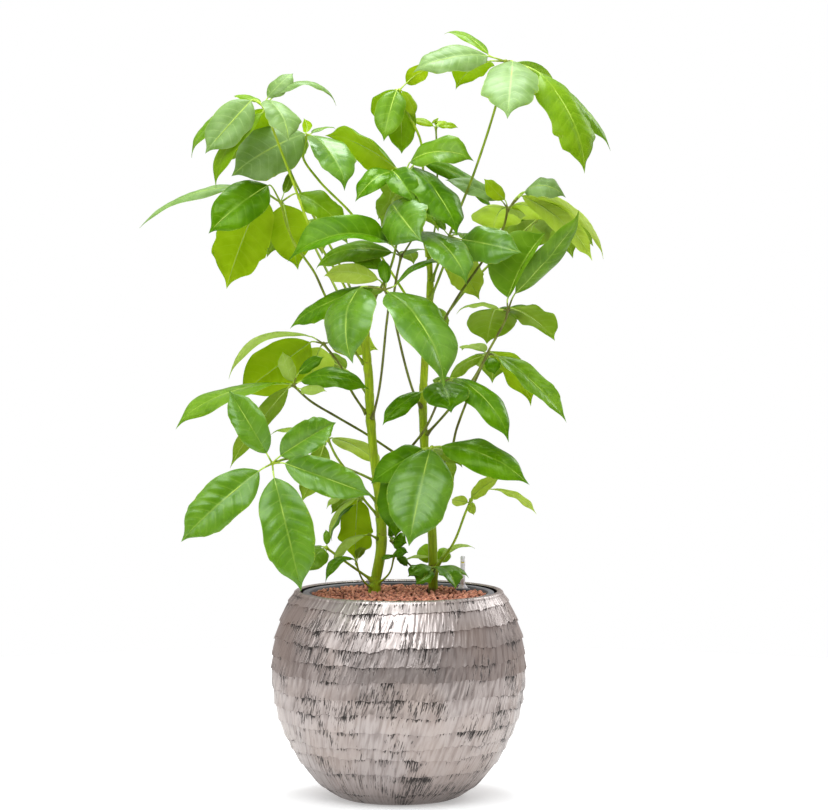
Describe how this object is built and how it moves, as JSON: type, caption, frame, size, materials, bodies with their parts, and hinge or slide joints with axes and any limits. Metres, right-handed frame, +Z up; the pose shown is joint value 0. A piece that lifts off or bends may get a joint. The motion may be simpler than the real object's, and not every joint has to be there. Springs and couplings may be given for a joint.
{
  "type": "potted umbrella plant",
  "caption": "Umbrella plant with long-stalked palmate leaves on upright green stems, growing in red clay granules inside a round planter with a tooled silver-leaf finish.",
  "frame": {"origin": "centre of the planter's flat foot, in the plane of the floor it stands on", "axes": "+Z up along the stems, +X to the right and -Y towards the viewer of the picture's front view"},
  "size_m": [0.7379, 0.5382, 1.1969],
  "materials": {
    "silver_leaf": "satin",
    "slate_plastic": "satin",
    "clay": "matte",
    "gauge_dark": "satin",
    "gauge_clear": "gloss",
    "gauge_red": "satin",
    "stem": "satin",
    "leaf": "satin"
  },
  "bodies": {
    "root": {"planter": "silver_leaf", "insert": "slate_plastic", "clay_granules": "clay", "gauge_body": "gauge_dark", "gauge_window": "gauge_clear", "gauge_float": "gauge_red", "stem_left": "stem", "stem_right": "stem", "leaf_top_right": "leaf", "leaf_young_top": "leaf", "leaf_bud": "leaf", "leaf_upper_centre": "leaf", "leaf_upper_left": "leaf", "leaf_top_left": "leaf", "leaf_left_middle": "leaf", "leaf_centre_front": "leaf", "leaf_centre": "leaf", "leaf_centre_right": "leaf", "leaf_right_upper": "leaf", "leaf_right": "leaf", "leaf_right_behind": "leaf", "leaf_right_lower": "leaf", "leaf_lower_front": "leaf", "leaf_left": "leaf", "leaf_left_long": "leaf", "leaf_front_left": "leaf", "leaf_left_behind": "leaf", "leaf_low_hanging": "leaf", "leaf_low_single": "leaf", "leaf_low_left": "leaf", "leaf_low_shoot": "leaf", "leaf_low_centre": "leaf", "leaf_low_dark": "leaf", "leaf_low_right": "leaf", "leaf_foot_right": "leaf", "leaf_foot_back": "leaf", "leaf_back_top_left": "leaf", "leaf_back_upper": "leaf", "leaf_back_left": "leaf", "leaf_back_right": "leaf", "leaf_back_middle": "leaf", "leaf_back_low_left": "leaf", "leaf_back_low": "leaf"}
  },
  "joints": []
}
